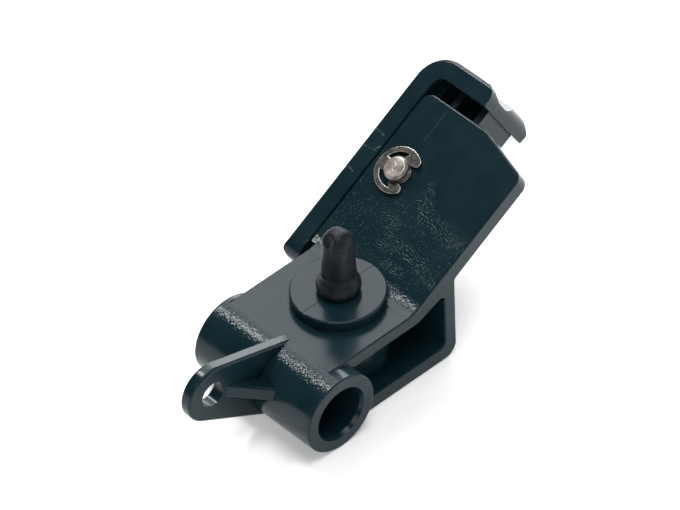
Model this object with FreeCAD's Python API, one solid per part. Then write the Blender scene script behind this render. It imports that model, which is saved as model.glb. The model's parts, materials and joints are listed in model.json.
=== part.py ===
import FreeCAD, Part
import math
import os
from FreeCAD import Placement, Rotation, Vector

# Umbrella swivel bracket, in millimetres.
# Origin: on the axis of the cross tube, at the middle of the body's width.
# +X runs back from the tube to the sloped plate, +Y runs along the tube, +Z is up.

# Cross tube and its bore
TUBE_R = 6.8
TUBE_NEAR_Y = -14.0
TUBE_FAR_Y = 11.4
BORE_R = 4.4
MOUTH_R = 4.75
MOUTH_DEPTH = 0.65

# Box-shaped body behind the tube
BODY_NEAR_Y = -11.5
BODY_FAR_Y = 10.5
DECK_T = 2.35
FLOOR_T = 2.6
REAR_X = 26.45
REAR_T = 2.3
SIDE_T = 2.2
HEEL_R = 2.3
REAR_TOP_R = 0.8
HOLLOW_TOP_Z = 6.7
HOLLOW_BEND_X = 18.6
HOLLOW_HEEL_R = 1.3
HOLLOW_TOP_R = 0.7

# Sloped plate: it leaves the deck at BEND_X and climbs at SLOPE_DEG
BEND_X = 17.3
BEND_R = 5.0
SLOPE_DEG = 30.0
PLATE_L = 29.8
PLATE_T = 3.1
PLATE_FAR_Y = 11.5
PLATE_SKEW_Y = -1.4
PLATE_SKEW_DROP = 2.8
PLATE_NEAR_R = 2.0
PLATE_SKEW_R = 2.0
PLATE_FAR_R = 1.9
PLATE_START_U = 0.6
PLATE_ROOT_U = 12.0

# Round boss on the deck and the hollow column under it
BOSS_X = 12.3
BOSS_Y = -0.6
BOSS_R = 7.5
BOSS_H = 1.9
BOSS_EDGE_R = 0.3
COLUMN_R = 7.45
POCKET_R = 5.0
POCKET_TOP_Z = 4.2
PLUG_HOLE_R = 1.9

# Crank ear on the tube
EAR_X = -15.1
EAR_Z = 6.5
EAR_R = 4.85
EAR_HOLE_R = 2.2
EAR_NEAR_Y = -2.25
EAR_T = 2.1
EAR_EDGE_R = 0.5
RIB_T = 2.0
RIB_REACH = 4.5
RIB_OFF_HOLE = 0.7
RIB_IN_TUBE = 1.5
RIB_EDGE_R = 0.3

# Guide pin, measured on the plate: up the slope, and across
PIN_U = 17.0
PIN_Y = 6.4
PIN_R = 2.0
PIN_FIT = 0.05
PIN_PROUD = 1.9
PIN_BEVEL = 0.4
GROOVE_R = 1.6
GROOVE_LOW = 0.10
GROOVE_HIGH = 0.80
CLIP_LIFT = 0.05
CLIP_T = 0.6
CLIP_R = 3.95
CLIP_WINDOW_R = 3.05
CLIP_PRONGS = ((94, 2.2), (-34, 3.2), (217, 2.7))
CLIP_MOUTH = 1.45
CLIP_MOUTH_WIDE = 2.2
CLIP_TIP_R = 0.8
SLEEVE_R = 2.5
WASHER_R = 3.9
WASHER_T = 0.8
HEAD_R = 3.2
HEAD_H = 1.5
HEAD_EDGE_R = 0.4

# Latch slider, which wraps the plate's far edge and its top edge
TRAVEL = 2.5
SIDE_GAP = 0.2
TOP_GAP = 2.9
BACK_GAP = 0.15
RIM_W = 3.4
RIM_T = 0.9
RIM_EDGE_R = 0.7
LIP_R = 0.25
SHELL_T = 2.0
NECK_DEPTH = 2.9
INNER_R = 1.7
SLIDER_DEPTH = 12.5
SLIDER_BACK_T = 2.4
SLIDER_NEAR_Y = 2.4
SLIDER_WALL_T = 1.2
SLIDER_LOW_U = 12.6
FINGER_U = -3.4
FINGER_DEPTH = 6.4
FINGER_END_R = 2.6
FINGER_RISE = 4.5
TAB_NEAR_Y = 1.6
TAB_CORNER_R = 2.4
TAB_WAIST_DEPTH = 6.1
TAB_CREST = 3.45
TAB_CREST_DEPTH = 9.7
TAB_LIP_DEPTH = 12.8
TAB_DEPTH = 14.65
TAB_TIP_W = 1.6
MIDDLE_RIB_Y = 7.5
MIDDLE_RIB_T = 1.1
FAR_RIB_T = 1.8
SLOT_CLEAR = 0.1

# Return spring and its seats
SPRING_DEPTH = 6.4
SPRING_R = 1.7
WIRE_R = 0.2
SPRING_TURNS = 6.5
LUG_LOW_U = 20.6
LUG_T = 1.6
LUG_HALF_W = 2.0
LUG_PAST = 2.0
SEAT_U = 28.0
SEAT_T = 1.2
SPIGOT_R = 1.1
SPIGOT_L = 1.4
SEAT_SPIGOT_L = 1.0

# Rubber plug
PLUG_PAD_R = 4.6
PLUG_PAD_T = 2.6
PLUG_FOOT_R = 2.7
PLUG_BULGE_R = 3.5
PLUG_BULGE_H = 2.1
PLUG_TAIL_R = 2.65
PLUG_TAIL_Z = 2.9
PLUG_TIP_R = 2.15
PLUG_TIP_EDGE_R = 1.9
PLUG_H = 12.4

EDGE_R = 0.3
SPILL = 1.0
NEAR = 1e-3
INNER_TOP_U = PLATE_L + TOP_GAP
INNER_FAR_Y = PLATE_FAR_Y + SIDE_GAP
BOSS_TOP_Z = TUBE_R + BOSS_H
X_AXIS = Vector(1, 0, 0)
Y_AXIS = Vector(0, 1, 0)
Z_AXIS = Vector(0, 0, 1)
SLOPE = Placement(Vector(BEND_X, 0, TUBE_R), Rotation(Y_AXIS, -SLOPE_DEG))


def on_slope(shape):
    """Carry a shape from the slope's frame (up the slope, across, outward) to the part's frame."""
    moved = shape.copy()
    moved.Placement = SLOPE.multiply(shape.Placement)
    return moved


def in_slope(point):
    """A point of the part, in the slope's frame."""
    return SLOPE.inverse().multVec(point)


def slope_point(u, n):
    """Place a point of the slope's side view in the part's side view, as (x, z)."""
    spot = SLOPE.multVec(Vector(u, 0, n))
    return spot.x, spot.z


def side_view(y):
    """Side view at a given y: (x, z) pairs become points."""
    return lambda p, q: Vector(p, y, q)


def plan_view(z):
    """Plan view at a given height: (x, y) pairs become points."""
    return lambda p, q: Vector(p, q, z)


def outline(corners, view):
    """Closed wire through corners (p, q, radius), with each corner rounded to its radius."""
    count = len(corners)
    spots = [view(p, q) for p, q, _ in corners]
    ends = []
    for i, (_, _, radius) in enumerate(corners):
        here = spots[i]
        back = (spots[i - 1] - here).normalize()
        on = (spots[(i + 1) % count] - here).normalize()
        half = back.getAngle(on) / 2
        if radius == 0:
            ends.append((here, None, here))
            continue
        reach = radius / math.tan(half)
        middle = here + (back + on).normalize() * (radius / math.sin(half) - radius)
        ends.append((here + back * reach, middle, here + on * reach))
    edges = []
    for i, (start, middle, end) in enumerate(ends):
        if middle is not None:
            edges.append(Part.Arc(start, middle, end).toShape())
        following = ends[(i + 1) % count][0]
        if (following - end).Length > 1e-6:
            edges.append(Part.LineSegment(end, following).toShape())
    return Part.Wire(edges)


def prism(corners, view, sweep):
    """Solid swept from a rounded outline along a vector."""
    return Part.Face(outline(corners, view)).extrude(sweep)


def rod(radius, start, end):
    """Round bar from one point to another."""
    axis = end - start
    return Part.makeCylinder(radius, axis.Length, start, axis)


def cone(start_r, end_r, start, end):
    """Round taper from one point to another."""
    axis = end - start
    return Part.makeCone(start_r, end_r, axis.Length, start, axis)


def lathe(profile, base, axis):
    """Solid of revolution from (radius, height) corners, about an axis through base."""
    wire = outline(profile, lambda r, h: Vector(r, 0, h))
    solid = Part.Face(wire).revolve(Vector(0, 0, 0), Z_AXIS, 360)
    solid.Placement = Placement(base, Rotation(Z_AXIS, axis))
    return solid


def joined(shapes):
    """Fuse shapes into one solid and merge its coplanar faces."""
    whole = shapes[0].multiFuse(shapes[1:]) if len(shapes) > 1 else shapes[0]
    return whole.removeSplitter()


def rounded(shape, radius, wanted):
    """Round the edges that a test picks out."""
    edges = [edge for edge in shape.Edges if wanted(edge)]
    return shape.makeFillet(radius, edges)


def lies_on(edge, test):
    """True where every sampled point of an edge passes a test."""
    low, high = edge.ParameterRange
    shares = (0.02, 0.25, 0.5, 0.75, 0.98)
    return all(test(edge.valueAt(low + (high - low) * share)) for share in shares)


def in_plane(edge, axis, level):
    """True where an edge lies in the plane across an axis at a level."""
    return lies_on(edge, lambda p: abs(p.dot(axis) - level) < NEAR)


def body_block():
    """Deck, floor, rear wall and the root of the plate, with the front half of the tube."""
    low_z = -TUBE_R
    slope = math.radians(SLOPE_DEG)
    back_x, back_z = slope_point(PLATE_ROOT_U, -PLATE_T)
    front_x, front_z = slope_point(PLATE_ROOT_U, 0)
    meet_u = (REAR_X - BEND_X - PLATE_T * math.sin(slope)) / math.cos(slope)
    meet_x, meet_z = slope_point(meet_u, -PLATE_T)
    corners = [(0, low_z, 0), (REAR_X, low_z, HEEL_R), (meet_x, meet_z, REAR_TOP_R), (back_x, back_z, 0),
               (front_x, front_z, 0), (BEND_X, TUBE_R, BEND_R), (0, TUBE_R, 0)]
    width = Vector(0, BODY_FAR_Y - BODY_NEAR_Y, 0)
    block = prism(corners, side_view(BODY_NEAR_Y), width)

    def on_side(edge):
        return in_plane(edge, Y_AXIS, BODY_NEAR_Y) or in_plane(edge, Y_AXIS, BODY_FAR_Y)

    def is_end(edge):
        return in_plane(edge, X_AXIS, 0) or lies_on(edge, lambda p: in_slope(p).x > PLATE_ROOT_U - NEAR)

    block = rounded(block, EDGE_R, lambda edge: on_side(edge) and not is_end(edge))
    near = side_view(BODY_NEAR_Y)
    bow = Part.Arc(near(0, TUBE_R), near(-TUBE_R, 0), near(0, low_z)).toShape()
    chord = Part.LineSegment(near(0, low_z), near(0, TUBE_R)).toShape()
    front = Part.Face(Part.Wire([bow, chord])).extrude(width)
    return joined([block, front])


def plate():
    """Sloped plate, with a skewed top edge and rounded corners, in the slope's frame."""
    corners = [(PLATE_START_U, BODY_NEAR_Y, 0), (PLATE_L - PLATE_SKEW_DROP, BODY_NEAR_Y, PLATE_NEAR_R),
               (PLATE_L, PLATE_SKEW_Y, PLATE_SKEW_R), (PLATE_L, PLATE_FAR_Y, PLATE_FAR_R),
               (PLATE_START_U, PLATE_FAR_Y, 0)]
    flat = prism(corners, plan_view(-PLATE_T), Vector(0, 0, PLATE_T))
    return rounded(flat, EDGE_R, lambda edge: not in_plane(edge, X_AXIS, PLATE_START_U)
                   and (in_plane(edge, Z_AXIS, 0) or in_plane(edge, Z_AXIS, -PLATE_T)))


def box_hollow():
    """Blind hollow under the deck, open on the near side."""
    floor_z = -TUBE_R + FLOOR_T
    inner_x = REAR_X - REAR_T
    under_z = TUBE_R - DECK_T
    core_x = TUBE_R - BORE_R
    corners = [(core_x, floor_z, 0), (inner_x, floor_z, HOLLOW_HEEL_R), (inner_x, HOLLOW_TOP_Z, HOLLOW_TOP_R),
               (HOLLOW_BEND_X, under_z, BEND_R), (core_x, under_z, 0)]
    depth = BODY_FAR_Y - SIDE_T - BODY_NEAR_Y
    hollow = prism(corners, side_view(BODY_NEAR_Y), Vector(0, depth, 0))
    tube = rod(TUBE_R, Vector(0, BODY_NEAR_Y - SPILL, 0), Vector(0, BODY_FAR_Y + SPILL, 0))
    return hollow.cut(tube)


def ear():
    """Crank ear: a flat link tangent to its eye and to the tube, with a gusset on the near face."""
    run = math.hypot(EAR_X, EAR_Z)
    along = Vector(EAR_X / run, 0, EAR_Z / run)
    across = Vector(-along.z, 0, along.x)
    lean = math.asin((TUBE_R - EAR_R) / run)
    base = Vector(0, EAR_NEAR_Y, 0)
    eye = base + along * run

    def touch(centre, radius, side):
        return centre + (across * (side * math.cos(lean)) + along * math.sin(lean)) * radius

    tip = Part.Arc(touch(eye, EAR_R, 1), eye + along * EAR_R, touch(eye, EAR_R, -1)).toShape()
    low = Part.LineSegment(touch(eye, EAR_R, -1), touch(base, TUBE_R, -1)).toShape()
    root = Part.LineSegment(touch(base, TUBE_R, -1), touch(base, TUBE_R, 1)).toShape()
    high = Part.LineSegment(touch(base, TUBE_R, 1), touch(eye, EAR_R, 1)).toShape()
    link = Part.Face(Part.Wire([tip, low, root, high])).extrude(Y_AXIS * EAR_T)
    outside = TUBE_R - EAR_EDGE_R
    link = rounded(link, EAR_EDGE_R, lambda edge: lies_on(edge, lambda p: (p - base).dot(along) > outside))
    rib_start = run - EAR_HOLE_R - RIB_OFF_HOLE
    rib_root = TUBE_R - RIB_IN_TUBE
    side = across * (RIB_T / 2)
    reach_y = Y_AXIS * -RIB_REACH
    into = Y_AXIS * (EAR_T / 2)
    crest = [base + along * rib_start, base + along * rib_root + reach_y]
    points = [base + along * rib_start + into] + crest + [base + along * rib_root + into]
    face = Part.Face(Part.makePolygon([p - side for p in points + points[:1]]))
    run_out = (crest[1] - crest[0]).normalize()

    def on_crest(edge):
        return lies_on(edge, lambda p: ((p - crest[0]).cross(run_out) - side.cross(run_out)).Length < NEAR
                       or ((p - crest[0]).cross(run_out) + side.cross(run_out)).Length < NEAR)

    rib = rounded(face.extrude(side * 2), RIB_EDGE_R, on_crest)
    return joined([link, rib])


def main_bracket():
    """The green moulding that turns on the shaft."""
    near_stub = rod(TUBE_R, Vector(0, TUBE_NEAR_Y, 0), Vector(0, BODY_NEAR_Y, 0))
    far_stub = rod(TUBE_R, Vector(0, BODY_FAR_Y, 0), Vector(0, TUBE_FAR_Y, 0))
    near_stub = rounded(near_stub, EDGE_R, lambda edge: in_plane(edge, Y_AXIS, TUBE_NEAR_Y))
    far_stub = rounded(far_stub, EDGE_R, lambda edge: in_plane(edge, Y_AXIS, TUBE_FAR_Y))
    body = joined([body_block(), on_slope(plate())])
    body = body.cut(box_hollow())

    def on_mouth(point):
        inside_x = point.x < REAR_X - REAR_T + NEAR and math.hypot(point.x, point.z) > TUBE_R + NEAR
        inside_z = FLOOR_T - TUBE_R - NEAR < point.z < HOLLOW_TOP_Z + NEAR
        return inside_x and inside_z and in_slope(point).z < -SPILL

    body = rounded(body, EDGE_R, lambda edge: in_plane(edge, Y_AXIS, BODY_NEAR_Y) and lies_on(edge, on_mouth))

    centre = Vector(BOSS_X, BOSS_Y, 0)
    boss = rod(BOSS_R, centre + Z_AXIS * (TUBE_R - SPILL), centre + Z_AXIS * BOSS_TOP_Z)
    boss = rounded(boss, BOSS_EDGE_R, lambda edge: in_plane(edge, Z_AXIS, BOSS_TOP_Z))
    column = rod(COLUMN_R, centre + Z_AXIS * (SPILL - TUBE_R), centre + Z_AXIS * (TUBE_R - SPILL))
    lug_depth = SPRING_DEPTH + LUG_PAST
    lug = Part.makeBox(LUG_T, 2 * LUG_HALF_W, lug_depth - PLATE_T,
                       Vector(LUG_LOW_U, PIN_Y - LUG_HALF_W, -lug_depth))
    seat = Vector(LUG_LOW_U + LUG_T, PIN_Y, -SPRING_DEPTH)
    spigot = rod(SPIGOT_R, seat, seat + Vector(SPIGOT_L, 0, 0))
    body = joined([body, near_stub, far_stub, boss, column, ear(), on_slope(lug), on_slope(spigot)])

    near_face = Vector(0, TUBE_NEAR_Y, 0)
    far_face = Vector(0, TUBE_FAR_Y, 0)
    bore = rod(BORE_R, near_face - Y_AXIS, far_face + Y_AXIS)
    near_mouth = cone(MOUTH_R, BORE_R, near_face, near_face + Y_AXIS * MOUTH_DEPTH)
    far_mouth = cone(BORE_R, MOUTH_R, far_face - Y_AXIS * MOUTH_DEPTH, far_face)
    ear_hole = rod(EAR_HOLE_R, Vector(EAR_X, EAR_NEAR_Y - SPILL, EAR_Z),
                   Vector(EAR_X, EAR_NEAR_Y + EAR_T + SPILL, EAR_Z))
    pocket = rod(POCKET_R, centre - Z_AXIS * (TUBE_R + SPILL), centre + Z_AXIS * POCKET_TOP_Z)
    plug_hole = rod(PLUG_HOLE_R, centre, centre + Z_AXIS * (BOSS_TOP_Z + SPILL))
    pin_hole = rod(PIN_R + PIN_FIT, Vector(PIN_U, PIN_Y, -PLATE_T - SPILL), Vector(PIN_U, PIN_Y, SPILL))
    return body.cut([bore, near_mouth, far_mouth, ear_hole, pocket, plug_hole, on_slope(pin_hole)])


def latch_slider():
    """The second green moulding, in the slope's frame at rest."""
    wall = [(0, 0, LIP_R), (RIM_W, 0, RIM_EDGE_R), (RIM_W, -RIM_T, 0.15), (SHELL_T, -NECK_DEPTH, 2.0),
            (SHELL_T, -SLIDER_DEPTH, 0.6), (0, -SLIDER_DEPTH, 0)]
    turn_u = INNER_TOP_U - INNER_R
    turn_y = INNER_FAR_Y - INNER_R
    start_u = FINGER_U - SPILL
    far_wall = prism(wall, lambda b, n: Vector(start_u, INNER_FAR_Y + b, n), Vector(turn_u - start_u, 0, 0))
    finger = [(FINGER_U + 0.15, 0, FINGER_END_R), (FINGER_U, -FINGER_DEPTH / 2, 6.0),
              (FINGER_U + 0.4, -FINGER_DEPTH, 1.4), (SLIDER_LOW_U - FINGER_RISE, -FINGER_DEPTH, 3.0),
              (SLIDER_LOW_U, -SLIDER_DEPTH, 1.5), (turn_u + SPILL, -SLIDER_DEPTH, 0), (turn_u + SPILL, 0, 0)]
    far_wall = far_wall.common(prism(finger, side_view(INNER_FAR_Y - SPILL), Y_AXIS * (RIM_W + 2 * SPILL)))
    corner = Part.Face(outline(wall, lambda b, n: Vector(turn_u, INNER_FAR_Y + b, n)))
    corner = corner.revolve(Vector(turn_u, turn_y, 0), Z_AXIS, -90)

    tab = [(0, 0, LIP_R), (RIM_W, 0, RIM_EDGE_R), (RIM_W, -RIM_T, 0.15), (SHELL_T, -NECK_DEPTH, 2.5),
           (SHELL_T, -TAB_WAIST_DEPTH, 3.0), (TAB_CREST, -TAB_CREST_DEPTH, 2.2), (RIM_W, -TAB_LIP_DEPTH, 2.0),
           (TAB_TIP_W, -TAB_DEPTH - LIP_R, 0.8), (0, -TAB_DEPTH, 0.3)]
    top_wall = prism(tab, lambda b, n: Vector(INNER_TOP_U + b, TAB_NEAR_Y, n),
                     Y_AXIS * (turn_y - TAB_NEAR_Y))
    crest = INNER_TOP_U + TAB_CREST
    trim = [(INNER_TOP_U - SPILL, TAB_NEAR_Y, 0), (crest, TAB_NEAR_Y, TAB_CORNER_R),
            (crest, turn_y + SPILL, 0), (INNER_TOP_U - SPILL, turn_y + SPILL, 0)]
    top_wall = top_wall.common(prism(trim, plan_view(-TAB_DEPTH - SPILL), Z_AXIS * (TAB_DEPTH + 2 * SPILL)))

    inner_back = -SLIDER_DEPTH + SLIDER_BACK_T
    front = -PLATE_T - BACK_GAP
    top_u = INNER_TOP_U + SHELL_T / 2
    far_y = INNER_FAR_Y + SHELL_T / 2
    back = [(SLIDER_LOW_U, SLIDER_NEAR_Y, 1.0), (top_u, SLIDER_NEAR_Y, 0),
            (top_u, far_y, INNER_R + SHELL_T / 2), (SLIDER_LOW_U, far_y, 0)]
    back_wall = prism(back, plan_view(-SLIDER_DEPTH), Vector(0, 0, SLIDER_BACK_T))

    def web(low_u, high_u, low_y, high_y):
        return Part.makeBox(high_u - low_u, high_y - low_y, front - inner_back + SPILL,
                            Vector(low_u, low_y, inner_back - SPILL))

    near_wall = web(SLIDER_LOW_U, top_u, SLIDER_NEAR_Y, SLIDER_NEAR_Y + SLIDER_WALL_T)
    low_wall = web(SLIDER_LOW_U, SLIDER_LOW_U + SLIDER_WALL_T, SLIDER_NEAR_Y, far_y)
    seat_wall = web(SEAT_U, SEAT_U + SEAT_T, SLIDER_NEAR_Y, far_y)
    middle_rib = web(SEAT_U, top_u, MIDDLE_RIB_Y, MIDDLE_RIB_Y + MIDDLE_RIB_T)
    far_rib = web(SLIDER_LOW_U, top_u, far_y - FAR_RIB_T, far_y)
    spigot_base = Vector(SEAT_U, PIN_Y, -SPRING_DEPTH)
    spigot = rod(SPIGOT_R, spigot_base, spigot_base - X_AXIS * SEAT_SPIGOT_L)
    whole = joined([far_wall, corner, top_wall, back_wall, near_wall, low_wall, seat_wall,
                    middle_rib, far_rib, spigot])

    half = SLEEVE_R + SLOT_CLEAR
    ends = (PIN_U - half, PIN_U + TRAVEL + half)
    slot = [(ends[0], PIN_Y - half, half - NEAR), (ends[1], PIN_Y - half, half - NEAR),
            (ends[1], PIN_Y + half, half - NEAR), (ends[0], PIN_Y + half, half - NEAR)]
    return whole.cut(prism(slot, plan_view(-SLIDER_DEPTH - SPILL), Vector(0, 0, SLIDER_BACK_T + 2 * SPILL)))


def guide_pin():
    """Turned pin with its head behind the slider and a clip groove in front of the plate."""
    under_head = -SLIDER_DEPTH - BACK_GAP - WASHER_T
    head_low = under_head - HEAD_H
    profile = [(0, head_low, 0), (HEAD_R, head_low, HEAD_EDGE_R), (HEAD_R, under_head, 0),
               (PIN_R, under_head, 0), (PIN_R, GROOVE_LOW, 0), (GROOVE_R, GROOVE_LOW, 0),
               (GROOVE_R, GROOVE_HIGH, 0), (PIN_R, GROOVE_HIGH, 0), (PIN_R, PIN_PROUD - PIN_BEVEL, 0),
               (PIN_R - PIN_BEVEL, PIN_PROUD, 0), (0, PIN_PROUD, 0)]
    return lathe(profile, Vector(PIN_U, PIN_Y, 0), Z_AXIS)


def e_clip():
    """Retaining clip with three prongs, open towards the near side."""
    low = GROOVE_LOW + CLIP_LIFT
    base = Vector(0, 0, low)
    top = Vector(0, 0, low + CLIP_T)
    ring = rod(CLIP_R, base, top)
    window = rod(CLIP_WINDOW_R, base - Z_AXIS, top + Z_AXIS)
    prongs = []
    for turn, width in CLIP_PRONGS:
        prong = Part.makeBox((CLIP_R + CLIP_WINDOW_R) / 2, width, CLIP_T, Vector(0, -width / 2, low))
        prong.rotate(Vector(0, 0, 0), Z_AXIS, turn)
        prongs.append(prong)
    past = -CLIP_R - SPILL
    gap = [(-CLIP_MOUTH, 0, 0), (CLIP_MOUTH, 0, 0), (CLIP_MOUTH_WIDE, past, 0), (-CLIP_MOUTH_WIDE, past, 0)]
    mouth = prism(gap, plan_view(low - SPILL), Vector(0, 0, CLIP_T + 2 * SPILL))
    seat = rod(GROOVE_R + PIN_FIT / 2, base - Z_AXIS, top + Z_AXIS)
    clip = joined([ring.cut(window)] + prongs).cut([seat, mouth]).removeSplitter()

    def is_tip(edge):
        upright = edge.Length < CLIP_T + NEAR and edge.valueAt(edge.FirstParameter).y < -SPILL
        return upright and lies_on(edge, lambda p: math.hypot(p.x, p.y) > CLIP_R - NEAR)

    clip = rounded(clip, CLIP_TIP_R, is_tip)
    clip.Placement = Placement(Vector(PIN_U, PIN_Y, 0), Rotation())
    return clip


def ring(outer_r, inner_r, low_n, high_n):
    """Plain ring about the pin's axis, in the slope's frame."""
    low = Vector(PIN_U, PIN_Y, low_n)
    high = Vector(PIN_U, PIN_Y, high_n)
    return rod(outer_r, low, high).cut(rod(inner_r, low - Z_AXIS, high + Z_AXIS))


def return_spring():
    """Compression spring between the plate's lug and the slider's seat wall."""
    start_u = LUG_LOW_U + LUG_T
    length = SEAT_U - start_u
    pitch = (length - 2 * WIRE_R) / SPRING_TURNS
    helix = Part.makeHelix(pitch, length - 2 * WIRE_R, SPRING_R)
    section = Part.Wire(Part.makeCircle(WIRE_R, Vector(SPRING_R, 0, 0), Y_AXIS))
    coil = Part.Wire(helix.Edges).makePipeShell([section], True, True)
    coil.Placement = Placement(Vector(start_u + WIRE_R, PIN_Y, -SPRING_DEPTH), Rotation(Z_AXIS, X_AXIS))
    return coil


def rubber_plug():
    """Rubber plug pulled up through the boss: pad below, neck, grip bulge and tail."""
    pad_low = POCKET_TOP_Z - PLUG_PAD_T
    foot = BOSS_TOP_Z
    tip = BOSS_TOP_Z + PLUG_H
    profile = [(0, pad_low, 0), (PLUG_PAD_R, pad_low, 0.6), (PLUG_PAD_R, POCKET_TOP_Z, 0),
               (PLUG_HOLE_R, POCKET_TOP_Z, 0), (PLUG_HOLE_R, foot, 0), (PLUG_FOOT_R, foot, 0),
               (PLUG_BULGE_R, foot + 0.5, 0.6), (PLUG_BULGE_R - 0.1, foot + PLUG_BULGE_H, 0.7),
               (PLUG_TAIL_R, foot + PLUG_TAIL_Z, 0.6), (PLUG_TIP_R, tip, PLUG_TIP_EDGE_R), (0, tip, 0)]
    return lathe(profile, Vector(BOSS_X, BOSS_Y, 0), Z_AXIS)


def main():
    sleeve_end = -SLIDER_DEPTH - BACK_GAP
    pieces = {
        "main_bracket": main_bracket(),
        "latch_slider": on_slope(latch_slider()),
        "guide_pin": on_slope(guide_pin()),
        "e_clip": on_slope(e_clip()),
        "slot_sleeve": on_slope(ring(SLEEVE_R, PIN_R + PIN_FIT, sleeve_end, -PLATE_T)),
        "head_washer": on_slope(ring(WASHER_R, PIN_R + PIN_FIT, sleeve_end - WASHER_T, sleeve_end)),
        "return_spring": on_slope(return_spring()),
        "rubber_plug": rubber_plug(),
    }
    os.makedirs("parts", exist_ok=True)
    for name, shape in pieces.items():
        shape.exportStep("parts/" + name + ".step")
        print(name, shape.ShapeType, len(shape.Solids), shape.isValid(), round(shape.Volume, 1))


main()
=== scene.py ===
import json
import math

import bmesh
import bpy
from mathutils import Matrix, Vector, noise


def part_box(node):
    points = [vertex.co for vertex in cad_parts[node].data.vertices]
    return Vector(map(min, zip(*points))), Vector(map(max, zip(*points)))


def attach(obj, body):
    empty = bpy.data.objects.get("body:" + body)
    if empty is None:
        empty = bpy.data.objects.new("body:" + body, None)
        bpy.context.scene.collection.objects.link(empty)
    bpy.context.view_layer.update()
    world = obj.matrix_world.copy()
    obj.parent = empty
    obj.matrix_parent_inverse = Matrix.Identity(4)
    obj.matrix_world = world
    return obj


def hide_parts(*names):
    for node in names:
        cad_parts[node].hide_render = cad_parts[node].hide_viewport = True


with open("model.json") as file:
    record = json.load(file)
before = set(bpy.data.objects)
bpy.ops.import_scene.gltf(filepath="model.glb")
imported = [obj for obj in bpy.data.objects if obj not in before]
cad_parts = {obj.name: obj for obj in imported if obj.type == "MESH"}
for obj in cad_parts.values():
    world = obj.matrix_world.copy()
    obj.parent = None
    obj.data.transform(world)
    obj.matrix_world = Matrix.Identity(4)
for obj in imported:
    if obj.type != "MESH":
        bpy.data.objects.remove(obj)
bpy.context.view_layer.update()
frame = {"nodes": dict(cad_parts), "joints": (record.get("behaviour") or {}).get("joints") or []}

MM = 0.001

# The slope's frame, read from the joints: up the slope, across it, and outward from the pin's centre
JOINTS = {joint["name"]: joint for joint in frame["joints"]}
PIN = Vector(JOINTS["pin_turn"]["pos_m"])
OUTWARD = Vector(JOINTS["pin_turn"]["axis"]).normalized()
UP_SLOPE = -Vector(JOINTS["latch_slide"]["axis"]).normalized()
ACROSS = Vector((0, 1, 0))

PLUG_LOW, PLUG_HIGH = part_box("rubber_plug")
PLUG_AXIS = (PLUG_LOW + PLUG_HIGH) / 2
BOSS_TOP = 8.7
FLOOR_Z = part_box("main_bracket")[0].z

# Camera: where it stands round the part, and where it looks
CAMERA_AZIMUTH = -41.81
CAMERA_ELEVATION = 43.76
CAMERA_ROLL = -2.216
CAMERA_DISTANCE = 1.2
CAMERA_LENS = 419.0
LOOK_RIGHT = 9.41 * MM
LOOK_UP = 17.14 * MM

# Compass angle, from the part, of the side that the rubber tail's facets turn to
TOWARDS_CAMERA = math.radians(CAMERA_AZIMUTH - 90)

# Painted glow in the floor's emission, in millimetres: dimmest right under the part and rising outwards,
# with a painted pool of light behind the part
PAINTED_GLOW_CENTRE = (14.0, -12.0, FLOOR_Z / MM)
PAINTED_GLOW_DIM_AT = 8.0
PAINTED_GLOW_BRIGHT_AT = 42.0
PAINTED_GLOW_LOW = 0.18
PAINTED_GLOW_HIGH = 0.54
PAINTED_POOL_CENTRE = (116.0, 47.0, FLOOR_Z / MM)
PAINTED_POOL_REACH = (60.0, 60.0, 60.0)
PAINTED_POOL_GLOW = 1.5


# ---------------------------------------------------------------- material graph

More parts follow.
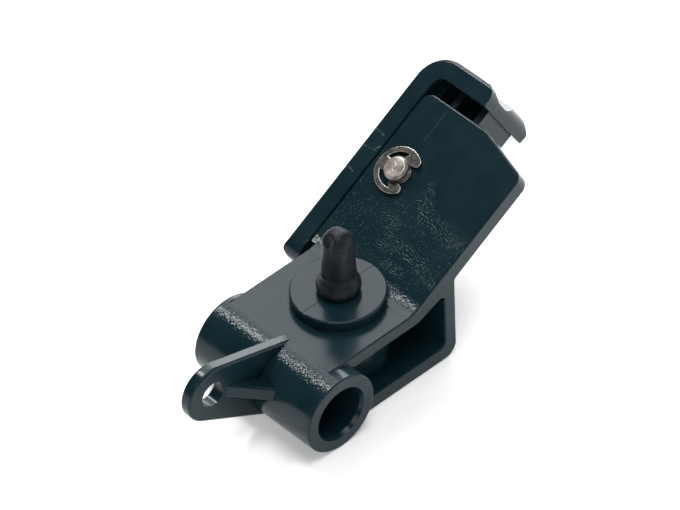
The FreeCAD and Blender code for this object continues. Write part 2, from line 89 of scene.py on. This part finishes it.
class Surface:
    """A node material under construction. Lengths in it are millimetres in the part's frame."""

    def __init__(self, name):
        self.material = bpy.data.materials.new(name)
        self.material.use_nodes = True
        self.tree = self.material.node_tree
        self.tree.nodes.clear()
        place = self.node("TexCoord").outputs["Object"]
        self.place = self.vector("SCALE", place, Scale=1 / MM)
        self.facing = self.node("TexCoord").outputs["Normal"]

    def feed(self, socket, value):
        if isinstance(value, bpy.types.NodeSocket):
            self.tree.links.new(value, socket)
        else:
            socket.default_value = value

    def node(self, kind, sockets=None, **settings):
        made = self.tree.nodes.new("ShaderNode" + kind)
        for name, value in settings.items():
            setattr(made, name, value)
        for name, value in (sockets or {}).items():
            self.feed(made.inputs[name], value)
        return made

    def math(self, operation, *values):
        made = self.node("Math", operation=operation)
        for socket, value in zip(made.inputs, values):
            self.feed(socket, value)
        return made.outputs[0]

    def vector(self, operation, *values, **named):
        made = self.node("VectorMath", named, operation=operation)
        for socket, value in zip(made.inputs, values):
            self.feed(socket, value)
        return made.outputs["Value" if operation in ("DOT_PRODUCT", "LENGTH", "DISTANCE") else "Vector"]

    def fade(self, value, start, end, low=0.0, high=1.0):
        """Smooth step from low at start to high at end."""
        sockets = {"Value": value, "From Min": start, "From Max": end, "To Min": low, "To Max": high}
        return self.node("MapRange", sockets, interpolation_type="SMOOTHSTEP").outputs["Result"]

    def grain(self, size, detail=2.0, roughness=0.5, at=None, distortion=0.0):
        """Noise whose lumps are about this size in millimetres."""
        sockets = {"Vector": at or self.place, "Scale": 1 / size, "Detail": detail,
                   "Roughness": roughness, "Distortion": distortion}
        return self.node("TexNoise", sockets).outputs["Fac"]

    def specks(self, size, radius, at=None):
        """Scattered round specks, 1 inside and 0 outside."""
        sockets = {"Vector": at or self.place, "Scale": 1 / size}
        distance = self.node("TexVoronoi", sockets).outputs["Distance"]
        return self.fade(distance, radius, radius * 0.4)

    def blend(self, share, first, second):
        """Colour mix from first to second."""
        made = self.node("Mix", {"Factor": share}, data_type="RGBA")
        self.feed(made.inputs[6], first)
        self.feed(made.inputs[7], second)
        return made.outputs[2]

    def along(self, axis, at=None):
        """Coordinate along an axis, in millimetres."""
        return self.vector("DOT_PRODUCT", at or self.place, axis)

    def on_slope(self):
        """Coordinates up the slope, across it and outward, from the pin's centre."""
        offset = self.vector("SUBTRACT", self.place, PIN / MM)
        parts = [self.along(axis, offset) for axis in (UP_SLOPE, ACROSS, OUTWARD)]
        sockets = dict(zip(("X", "Y", "Z"), parts))
        return (*parts, self.node("CombineXYZ", sockets).outputs[0])

    def patch(self, at, centre, reach):
        """Soft oval patch, 1 at its centre and 0 outside its reach."""
        offset = self.vector("SUBTRACT", at, centre)
        distance = self.vector("LENGTH", self.vector("DIVIDE", offset, reach))
        return self.fade(distance, 1.0, 0.35)

    def scratch(self, at, start, end, width):
        """Soft straight mark between two points."""
        start, end = Vector(start), Vector(end)
        run = end - start
        offset = self.vector("SUBTRACT", at, start)
        share = self.vector("DOT_PRODUCT", offset, run / run.length_squared)
        share = self.math("MINIMUM", self.math("MAXIMUM", share, 0.0), 1.0)
        nearest = self.vector("SCALE", run, Scale=share)
        return self.fade(self.vector("DISTANCE", offset, nearest), width, width * 0.3)

    def finish(self, colour, roughness, height=None, **settings):
        """Close the graph with a shader. Height is in millimetres."""
        shader = self.node("BsdfPrincipled", {"Base Color": colour, "Roughness": roughness})
        for name, value in settings.items():
            shader.inputs[name.replace("_", " ")].default_value = value
        if height is not None:
            bump = self.node("Bump", {"Height": height, "Distance": MM, "Strength": 1.0})
            self.feed(shader.inputs["Normal"], bump.outputs["Normal"])
        output = self.node("OutputMaterial")
        self.feed(output.inputs["Surface"], shader.outputs["BSDF"])
        return self.material


def total(surface, values):
    """Sum of several values."""
    result = values[0]
    for value in values[1:]:
        result = surface.math("ADD", result, value)
    return result


def product(surface, values):
    """Product of several values."""
    result = values[0]
    for value in values[1:]:
        result = surface.math("MULTIPLY", result, value)
    return result


def largest(surface, values):
    """Largest of several values."""
    result = values[0]
    for value in values[1:]:
        result = surface.math("MAXIMUM", result, value)
    return result


def scratches(surface, at, marks):
    """Several soft straight marks, each given by its start, its end and its width."""
    return largest(surface, [surface.scratch(at, start, end, width) for start, end, width in marks])


# ---------------------------------------------------------------- materials

X_AXIS = (1, 0, 0)
Y_AXIS = (0, 1, 0)
Z_AXIS = (0, 0, 1)
GREEN = (0.0042, 0.0160, 0.0218, 1)
GREEN_DUSTY = (0.0066, 0.0200, 0.0258, 1)
GREEN_PALE = (0.085, 0.115, 0.12, 1)
GREEN_DARK = (0.002, 0.006, 0.008, 1)
PLASTIC_GLOSS = 0.19
RUBBER_GLOSS = 0.16
RIPPLE_PITCH = 0.38
RING_PITCH = 0.16
EAR_FACE_Y = -2.33
BOSS_CLEAR_R = 7.52


def plastic_base(surface):
    """Colour, roughness and relief that both green mouldings share."""
    cloud = surface.grain(6.0, detail=3.0)
    colour = surface.blend(surface.fade(cloud, 0.35, 0.75), GREEN, GREEN_DUSTY)
    dust = surface.math("MULTIPLY", surface.specks(1.3, 0.07), surface.fade(surface.grain(4.0), 0.5, 0.7))
    colour = surface.blend(surface.math("MULTIPLY", dust, 0.35), colour, GREEN_PALE)
    roughness = surface.fade(surface.grain(3.0, detail=4.0), 0.3, 0.7, 0.17, 0.23)
    sway = surface.math("MULTIPLY", surface.grain(5.0, detail=1.0), 0.010)
    orange_peel = surface.math("MULTIPLY", surface.grain(0.5, detail=2.0), 0.0016)
    return colour, roughness, [sway, orange_peel]


def ripples(surface, up, across, slope):
    """Fine bowed ripples, broken up along their run, 0 to 1."""
    aside = surface.math("SUBTRACT", surface.math("MULTIPLY", across, -1.0), PIN.y / MM)
    bend = surface.math("SUBTRACT", surface.math("MULTIPLY", aside, 0.027), 0.14)
    bow = surface.math("MULTIPLY", aside, bend)
    warp = surface.math("MULTIPLY", surface.grain(4.0, detail=1.0, at=slope), 2.2)
    phase = surface.math("MULTIPLY", total(surface, [up, bow, warp]), 2 * math.pi / RIPPLE_PITCH)
    crests = surface.fade(surface.math("SINE", phase), 0.2, 1.0)
    columns = surface.vector("MULTIPLY", slope, (0.45, 1.0, 1.0))
    broken = surface.fade(surface.grain(0.34, detail=1.0, at=columns), 0.44, 0.58)
    return surface.math("MULTIPLY", crests, broken)


def melt_fronts(surface, slope):
    """Where the ripples lie: two crooked fronts that run down to the plate's near edge, 0 to 1."""
    upper = [((0.7, -6.2, 0), (-1.6, -7.8, 0), 1.3), ((-1.6, -6.2, 0), (-3.1, -9.0, 0), 1.9),
             ((-3.1, -8.5, 0), (-3.5, -12.0, 0), 2.1), ((-3.5, -12.0, 0), (-4.5, -17.3, 0), 2.3)]
    lower = [((-6.4, -2.8, 0), (-7.0, -5.3, 0), 1.3), ((-7.0, -5.3, 0), (-10.4, -6.1, 0), 1.7),
             ((-9.4, -8.0, 0), (-9.8, -13.3, 0), 1.7), ((-9.8, -13.3, 0), (-11.2, -17.6, 0), 1.7),
             ((-12.6, -8.0, 0), (-12.8, -11.0, 0), 1.3)]
    return scratches(surface, slope, upper + lower)


def sprinkled_specks_and_glints(surface, up, slope):
    """Pale specks sprinkled over the lower half of the plate, partly raised flecks and partly painted
    glints, 0 to 1.
    """
    clusters = surface.fade(surface.grain(1.6, detail=2.0, at=slope), 0.32, 0.50)
    specks = surface.math("MULTIPLY", surface.specks(0.42, 0.27, at=slope), clusters)
    lower_half = surface.math("MULTIPLY", surface.fade(up, 1.0, -6.0), surface.fade(up, -17.5, -13.5))
    return surface.math("MULTIPLY", specks, lower_half)


def flow_marks_and_glints(surface):
    """Broken ripples and specks where the melt front ran over the lower part of the plate, 0 to 1; their
    pale colour is partly real flow marks and partly painted glints.
    """
    up, across, outward, slope = surface.on_slope()
    rippled = surface.math("MULTIPLY", ripples(surface, up, across, slope), melt_fronts(surface, slope))
    marks = surface.math("MAXIMUM", rippled, sprinkled_specks_and_glints(surface, up, slope))
    on_face = surface.fade(surface.math("ABSOLUTE", outward), 0.5, 0.25)
    return surface.math("MULTIPLY", marks, on_face)


def frosting(surface):
    """Coarser spark-eroded grain on the tube's shoulder and at the bend, stronger towards the near end."""
    x, y, z = (surface.along(axis) for axis in (X_AXIS, Y_AXIS, Z_AXIS))
    shoulder = surface.math("MULTIPLY", surface.fade(x, 1.0, -0.9), surface.fade(x, -4.8, -2.8))
    bend = surface.patch(surface.place, (18.5, 0, 7.5), (1.2, 40, 1.2))
    high = surface.fade(z, -1.0, 3.0)
    nearer = surface.fade(y, 3.0, -5.0, 1.0, 1.45)
    grain = surface.grain(0.42, detail=1.0, roughness=0.5)
    return product(surface, [largest(surface, [shoulder, bend]), high, nearer, grain])


def bend_relief(surface):
    """Relief that lets the light see the bend's curve a millimetre further up the slope, in millimetres."""
    x, z = (surface.along(axis) for axis in (X_AXIS, Z_AXIS))
    lean = surface.math("ABSOLUTE", surface.along(Y_AXIS, surface.facing))
    not_wall = surface.fade(lean, 0.6, 0.3)
    not_under = surface.fade(surface.along(Z_AXIS, surface.facing), 0.3, 0.6)
    from_axis = surface.vector("SUBTRACT", surface.place, PLUG_AXIS / MM)
    from_axis = surface.vector("MULTIPLY", from_axis, (1, 1, 0))
    off_boss = surface.fade(surface.vector("LENGTH", from_axis), BOSS_CLEAR_R, BOSS_CLEAR_R + 0.05)
    above_hollow = surface.fade(z, 5.5, 6.0)
    drop = surface.fade(x, 16.3, 19.2, 0.0, -0.6)
    return product(surface, [not_wall, not_under, off_boss, above_hollow, drop])


def ear_crease_shade(surface):
    """Painted shade along the crease round the tube at the ear's near face, 0 to 1."""
    x, y, z = (surface.along(axis) for axis in (X_AXIS, Y_AXIS, Z_AXIS))
    on_line = surface.fade(surface.math("ABSOLUTE", surface.math("SUBTRACT", y, EAR_FACE_Y)), 0.16, 0.05)
    squares = [surface.math("MULTIPLY", side, side) for side in (x, z)]
    radius = surface.math("SQRT", total(surface, squares))
    on_tube = surface.math("MULTIPLY", surface.fade(radius, 7.1, 6.9), surface.fade(x, 0.0, -1.0))
    return surface.math("MULTIPLY", on_line, on_tube)


def knit_lines(surface):
    """Thin pale knit line on the plate and dark ones across the boss, each 0 to 1."""
    slope = surface.on_slope()[3]
    on_plate = surface.scratch(slope, (5.9, -0.05, 0), (11.9, -0.10, 0), 0.09)
    centre = Vector((PLUG_AXIS.x / MM, PLUG_AXIS.y / MM, BOSS_TOP))
    ends = [(centre + Vector((side * 3.0, 0, 0)), centre + Vector((side * 7.2, 0, 0))) for side in (-1, 1)]
    on_boss = scratches(surface, surface.place, [(start, end, 0.08) for start, end in ends])
    return on_plate, on_boss


def bracket_plastic():
    """Green plastic of the main moulding, with its flow marks (partly painted glints), painted shade along
    the ear's crease, knit lines and grain.
    """
    surface = Surface("green_plastic_bracket")
    colour, roughness, relief = plastic_base(surface)
    marks = flow_marks_and_glints(surface)
    knit, lines = knit_lines(surface)
    crease_shade = ear_crease_shade(surface)
    # Pale colour of the flow marks and specks: partly real marks, partly painted glints
    pale = largest(surface, [surface.math("MULTIPLY", marks, 0.34), surface.math("MULTIPLY", knit, 0.28)])
    colour = surface.blend(pale, colour, GREEN_PALE)
    colour = surface.blend(lines, colour, GREEN_DARK)
    # Painted shade along the crease where the ear meets the tube, with a shallow groove in the relief
    colour = surface.blend(surface.math("MULTIPLY", crease_shade, 0.8), colour, GREEN_DARK)
    relief.append(surface.math("MULTIPLY", crease_shade, -0.03))
    relief.append(bend_relief(surface))
    relief.append(surface.math("MULTIPLY", marks, 0.014))
    relief.append(surface.math("MULTIPLY", knit, -0.008))
    relief.append(surface.math("MULTIPLY", lines, -0.035))
    relief.append(surface.math("MULTIPLY", frosting(surface), 0.056))
    return surface.finish(colour, roughness, total(surface, relief), Specular_IOR_Level=PLASTIC_GLOSS)


def slider_plastic():
    """Green plastic of the latch slider, with the scuffs across its rim."""
    surface = Surface("green_plastic_slider")
    colour, roughness, relief = plastic_base(surface)
    slope = surface.on_slope()[3]
    scuffs = [((3.45, 8.3, 0), (3.25, 6.4, 0), 0.16), ((0.3, 7.9, 0), (0.6, 5.4, 0), 0.13),
              ((0.8, 6.1, 0), (1.45, 5.6, 0), 0.16), ((-3.5, 8.8, 0), (-4.0, 6.8, 0), 0.14),
              ((-3.9, 8.0, 0), (-4.6, 8.4, 0), 0.10), ((-17.2, 5.7, 0), (-16.7, 5.4, 0), 0.20)]
    ragged = surface.fade(surface.grain(0.35, detail=2.0), 0.42, 0.58)
    marks = surface.math("MULTIPLY", scratches(surface, slope, scuffs), ragged)
    colour = surface.blend(surface.math("MULTIPLY", marks, 0.8), colour, GREEN_PALE)
    relief.append(surface.math("MULTIPLY", marks, 0.010))
    return surface.finish(colour, roughness, total(surface, relief), Specular_IOR_Level=PLASTIC_GLOSS)


def steel(name, colour, shade, roughness, rings=0.0):
    """Steel with fine turned rings about the pin's axis, and grime between them."""
    surface = Surface(name)
    up, across, _, slope = surface.on_slope()
    squares = [surface.math("MULTIPLY", side, side) for side in (up, across)]
    radius = surface.math("SQRT", total(surface, squares))
    wobble = surface.math("MULTIPLY", surface.grain(0.9, at=slope), 0.25)
    phase = surface.math("MULTIPLY", surface.math("ADD", radius, wobble), 2 * math.pi / RING_PITCH)
    turned = surface.math("SINE", phase)
    grime = surface.fade(surface.grain(0.7, detail=4.0, roughness=0.6), 0.38, 0.68)
    tint = surface.blend(grime, colour, shade)
    dull = surface.fade(surface.grain(0.5, detail=3.0), 0.3, 0.7, roughness, roughness + 0.16)
    relief = [surface.math("MULTIPLY", turned, rings),
              surface.math("MULTIPLY", surface.grain(0.15, detail=2.0), 0.0015)]
    return surface.finish(tint, dull, total(surface, relief), Metallic=1.0)


def wire_steel():
    """Drawn spring wire: dull steel with lengthwise die marks."""
    surface = Surface("spring_wire")
    streak = surface.grain(0.12, detail=3.0, at=surface.vector("MULTIPLY", surface.place, (0.4, 1.0, 1.0)))
    tint = surface.blend(surface.fade(streak, 0.35, 0.65), (0.50, 0.50, 0.49, 1), (0.30, 0.30, 0.30, 1))
    dull = surface.fade(streak, 0.3, 0.7, 0.28, 0.42)
    return surface.finish(tint, dull, surface.math("MULTIPLY", streak, 0.002), Metallic=1.0)


def rubber():
    """Dusty black rubber."""
    surface = Surface("black_rubber")
    cloud = surface.fade(surface.grain(1.6, detail=4.0, roughness=0.65), 0.42, 0.72)
    colour = surface.blend(cloud, (0.0035, 0.007, 0.011, 1), (0.011, 0.016, 0.021, 1))
    lint = surface.math("MULTIPLY", surface.specks(0.5, 0.17), surface.fade(surface.grain(1.2), 0.46, 0.60))
    colour = surface.blend(surface.math("MULTIPLY", lint, 0.85), colour, (0.10, 0.11, 0.115, 1))
    roughness = surface.fade(surface.grain(0.8, detail=3.0), 0.3, 0.7, 0.36, 0.56)
    relief = [surface.math("MULTIPLY", surface.grain(0.35, detail=3.0), 0.020),
              surface.math("MULTIPLY", lint, 0.012)]
    return surface.finish(colour, roughness, total(surface, relief), Specular_IOR_Level=RUBBER_GLOSS)


def painted_floor_glow():
    """White studio board with painted glow in its emission, dimmer right under the part and with a painted
    pool of light behind it, and the faintest mottling.
    """
    surface = Surface("studio_board_painted_glow")
    tone = surface.fade(surface.grain(60.0, detail=2.0), 0.3, 0.7)
    colour = surface.blend(tone, (0.86, 0.86, 0.86, 1), (0.88, 0.88, 0.88, 1))
    # Painted glow: dimmest right under the part and rising outwards, plus a painted pool of light behind it
    away = surface.vector("LENGTH", surface.vector("SUBTRACT", surface.place, PAINTED_GLOW_CENTRE))
    painted_glow = surface.fade(away, PAINTED_GLOW_DIM_AT, PAINTED_GLOW_BRIGHT_AT, PAINTED_GLOW_LOW, PAINTED_GLOW_HIGH)
    painted_pool = surface.patch(surface.place, PAINTED_POOL_CENTRE, PAINTED_POOL_REACH)
    painted_glow = surface.math("ADD", painted_glow, surface.math("MULTIPLY", painted_pool, PAINTED_POOL_GLOW))
    sockets = {"Base Color": colour, "Roughness": 0.9,
               "Emission Strength": painted_glow, "Emission Color": (1, 1, 1, 1)}
    shader = surface.node("BsdfPrincipled", sockets)
    output = surface.node("OutputMaterial")
    surface.feed(output.inputs["Surface"], shader.outputs["BSDF"])
    return surface.material


# ---------------------------------------------------------------- pieces

def new_piece(name, shape, material, body, node):
    """Turn a bmesh into a piece that rides on a body and stands for a CAD node."""
    mesh = bpy.data.meshes.new(name)
    shape.to_mesh(mesh)
    shape.free()
    mesh.shade_smooth()
    piece = bpy.data.objects.new(name, mesh)
    bpy.context.scene.collection.objects.link(piece)
    mesh.materials.append(material)
    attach(piece, body)
    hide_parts(node)
    return piece


def edged(node, width, material, edge_material, body):
    """A CAD node's shape with its sharp edges rounded and polished, as tumbling or turning leaves them."""
    shape = bmesh.new()
    shape.from_mesh(frame["nodes"][node].data)
    bmesh.ops.remove_doubles(shape, verts=shape.verts, dist=0.04 * MM)
    bmesh.ops.dissolve_limit(shape, angle_limit=math.radians(1.5), verts=shape.verts, edges=shape.edges)
    sharp = [edge for edge in shape.edges if edge.is_manifold and edge.calc_face_angle() > math.radians(30)]
    bmesh.ops.bevel(shape, geom=sharp, offset=width, segments=2, profile=0.5, affect="EDGES",
                    clamp_overlap=False, material=1)
    piece = new_piece(node + "_edged", shape, material, body, node)
    piece.data.materials.append(edge_material)
    weighted = piece.modifiers.new("weighted", "WEIGHTED_NORMAL")
    weighted.keep_sharp = True
    return piece


def plug_radius(height):
    """Plug's radius in millimetres at a height above the boss: foot, grip bulge, tail and rounded tip."""
    stations = [(0.0, 2.45), (0.25, 3.05), (0.7, 3.42), (1.3, 3.5), (1.9, 3.4), (2.45, 3.1), (2.85, 2.8),
                (3.3, 2.62), (6.0, 2.50), (9.0, 2.37), (10.4, 2.26), (11.1, 1.98), (11.6, 1.48), (11.9, 0.7)]
    for (low, low_r), (high, high_r) in zip(stations, stations[1:]):
        if height <= high:
            share = (height - low) / (high - low)
            return low_r + (high_r - low_r) * share
    return stations[-1][1]


def plug_rings(top):
    """Heights above the boss and radii of the plug's rings, from the pad's underside to the tip."""
    low = PLUG_LOW.z / MM - BOSS_TOP
    high = low + 2.6
    pad = [(low, 0.001), (low, 3.0), (low + 0.02, 4.0), (low + 0.2, 4.42), (low + 0.6, 4.6),
           (high - 0.15, 4.6), (high - 0.02, 4.5), (high - 0.01, 4.2), (high, 2.1)]
    neck = [(high + 0.15, 1.88), (-0.2, 1.86), (-0.03, 1.9), (0.0, 2.2)]
    steps = 84
    tail = [(top * (i / steps), plug_radius(top * i / steps)) for i in range(steps + 1)]
    return pad + neck + tail + [(top, 0.4), (top, 0.001)]


def clamped(value):
    """Value kept between 0 and 1."""
    return min(1.0, max(0.0, value))


def plug_section(radius, height, angle):
    """Radius of the plug's section at this angle: four-sided along the tail, faintly ribbed and lumpy."""
    tail = clamped((height - 2.2) / 1.2)
    square = 0.045 * tail * math.cos(4 * (angle - TOWARDS_CAMERA - 0.08))
    ribs = 0.012 * tail * noise.noise(Vector((math.cos(angle) * 7, math.sin(angle) * 7, height * 0.15)))
    lumps = noise.noise(Vector((math.cos(angle) * 1.4, math.sin(angle) * 1.4, height * 0.5)))
    showing = 1.0 if height > 0.05 else 0.0
    return radius * (1 + square + showing * (ribs + 0.02 * lumps))


def plug_lean(height):
    """How far the plug leans to the camera's right at this height, in millimetres."""
    tail = clamped((height - 2.2) / 1.2)
    aside = Vector((-math.sin(TOWARDS_CAMERA), math.cos(TOWARDS_CAMERA), 0))
    return aside * (0.15 * min(1.0, max(0.0, height) / 0.8) + 0.09 * tail)


def nipped(spot, base, top, height):
    """Press the tail's tip in at one side and cut it to a slanted facet on the other."""
    if height <= 5:
        return spot
    nip_turn = math.radians(178)
    nip = base + Vector((2.05 * math.cos(nip_turn), 2.05 * math.sin(nip_turn), top - 0.75))
    away = (spot - nip).length
    if away < 1.25:
        spot = spot + Vector((0.62, 0.10, -0.35)) * (1 - away / 1.25) ** 0.7
    turn = TOWARDS_CAMERA + 0.75
    facet = Vector((math.cos(turn), math.sin(turn), 0.85)).normalized()
    over = (spot - base - Vector((0, 0, top - 1.5))).dot(facet) - 1.9
    if over > 0:
        spot = spot - facet * over * 0.85
    return spot


def rubber_plug():
    """Rubber plug: a pad under the boss, a neck, a grip bulge and a four-sided tail with a nipped tip."""
    top = PLUG_HIGH.z / MM - BOSS_TOP - 0.5
    base = Vector((PLUG_AXIS.x / MM, PLUG_AXIS.y / MM, BOSS_TOP))
    around = 96
    shape = bmesh.new()
    loops = []
    for height, radius in plug_rings(top):
        loop = []
        for i in range(around):
            angle = 2 * math.pi * i / around
            r = plug_section(radius, height, angle)
            spot = base + Vector((r * math.cos(angle), r * math.sin(angle), height)) + plug_lean(height)
            spot = nipped(spot, base, top, height)
            spot.z = min(spot.z, PLUG_HIGH.z / MM)
            loop.append(shape.verts.new(spot * MM))
        loops.append(loop)
    for low, high in zip(loops, loops[1:]):
        for i in range(around):
            j = (i + 1) % around
            shape.faces.new((low[i], low[j], high[j], high[i]))
    bmesh.ops.remove_doubles(shape, verts=loops[0] + loops[-1], dist=0.01 * MM)
    bmesh.ops.recalc_face_normals(shape, faces=shape.faces)
    return new_piece("rubber_plug_body", shape, rubber(), "bracket", "rubber_plug")


def paint(node, material):
    """Give a CAD node its finish."""
    for slot in frame["nodes"][node].material_slots:
        slot.material = material


# ---------------------------------------------------------------- stage

def studio_floor():
    """Wide white board under the part."""
    size = 6.0
    shape = bmesh.new()
    bmesh.ops.create_grid(shape, x_segments=8, y_segments=8, size=size / 2)
    bmesh.ops.translate(shape, verts=shape.verts, vec=(0, 0, FLOOR_Z - 0.005 * MM))
    mesh = bpy.data.meshes.new("studio_floor")
    shape.to_mesh(mesh)
    shape.free()
    mesh.materials.append(painted_floor_glow())
    board = bpy.data.objects.new("studio_floor", mesh)
    bpy.context.scene.collection.objects.link(board)


def softbox(name, direction, size, radiance):
    """Soft panel light, seen from the part in this direction."""
    distance = 2.0
    light = bpy.data.lights.new(name, "AREA")
    light.shape = "RECTANGLE"
    light.size, light.size_y = size
    light.energy = radiance * math.pi * size[0] * size[1]
    lamp = bpy.data.objects.new(name, light)
    direction = Vector(direction).normalized()
    lamp.location = direction * distance
    lamp.rotation_mode = "QUATERNION"
    lamp.rotation_quaternion = direction.to_track_quat("Z", "Y")
    lamp.visible_camera = False
    bpy.context.scene.collection.objects.link(lamp)


def studio_lights():
    """Soft panels round the part, and a dim room behind them."""
    softbox("key_back", (0.02, 0.54, 0.84), (0.35, 0.38), 38.0)
    softbox("panel_back_right", (0.50, 0.52, 0.69), (1.2, 1.2), 5.1)
    softbox("low_back_right", (0.80, 0.48, 0.34), (1.3, 0.8), 7.2)
    softbox("fill_left", (-0.62, -0.48, 0.62), (1.0, 1.0), 2.6)
    softbox("top", (0.05, -0.15, 1.0), (1.1, 1.1), 6.3)
    softbox("fill_right", (0.70, -0.66, 0.27), (1.6, 0.8), 2.5)
    world = bpy.data.worlds.new("room")
    world.use_nodes = True
    background = world.node_tree.nodes["Background"]
    background.inputs["Color"].default_value = (1, 1, 1, 1)
    background.inputs["Strength"].default_value = 0.08
    bpy.context.scene.world = world
    bpy.context.scene.view_settings.view_transform = "Standard"


def camera():
    """Long-lens camera on the part's near side, with a slight roll."""
    turns = (CAMERA_AZIMUTH, CAMERA_ELEVATION, CAMERA_ROLL)
    azimuth, elevation, roll = (math.radians(angle) for angle in turns)
    back = Vector((math.sin(azimuth) * math.cos(elevation), -math.cos(azimuth) * math.cos(elevation),
                   math.sin(elevation)))
    level = Vector((math.cos(azimuth), math.sin(azimuth), 0))
    rise = back.cross(level)
    right = level * math.cos(roll) + rise * math.sin(roll)
    up = rise * math.cos(roll) - level * math.sin(roll)
    data = bpy.data.cameras.new("camera")
    data.lens = CAMERA_LENS
    data.clip_start, data.clip_end = 0.05, 20.0
    shot = bpy.data.objects.new("camera", data)
    spot = right * LOOK_RIGHT + up * LOOK_UP + back * CAMERA_DISTANCE
    shot.matrix_world = Matrix.Translation(spot) @ Matrix((right, up, back)).transposed().to_4x4()
    bpy.context.scene.collection.objects.link(shot)
    bpy.context.scene.camera = shot


camera()
studio_floor()
studio_lights()

paint("main_bracket", bracket_plastic())
paint("latch_slider", slider_plastic())
paint("slot_sleeve", steel("sleeve_steel", (0.55, 0.54, 0.52, 1), (0.35, 0.34, 0.33, 1), 0.28))
paint("head_washer", steel("washer_steel", (0.60, 0.60, 0.60, 1), (0.42, 0.42, 0.42, 1), 0.30, 0.001))
paint("return_spring", wire_steel())
edge_steel = steel("polished_edge_steel", (0.55, 0.525, 0.49, 1), (0.34, 0.32, 0.295, 1), 0.28)
pin_steel = steel("turned_steel", (0.35, 0.32, 0.285, 1), (0.21, 0.19, 0.17, 1), 0.34, 0.005)
clip_steel = steel("clip_steel", (0.145, 0.14, 0.13, 1), (0.070, 0.067, 0.060, 1), 0.28)
edged("guide_pin", 0.05 * MM, pin_steel, edge_steel, "pin")
edged("e_clip", 0.10 * MM, clip_steel, edge_steel, "pin")
rubber_plug()
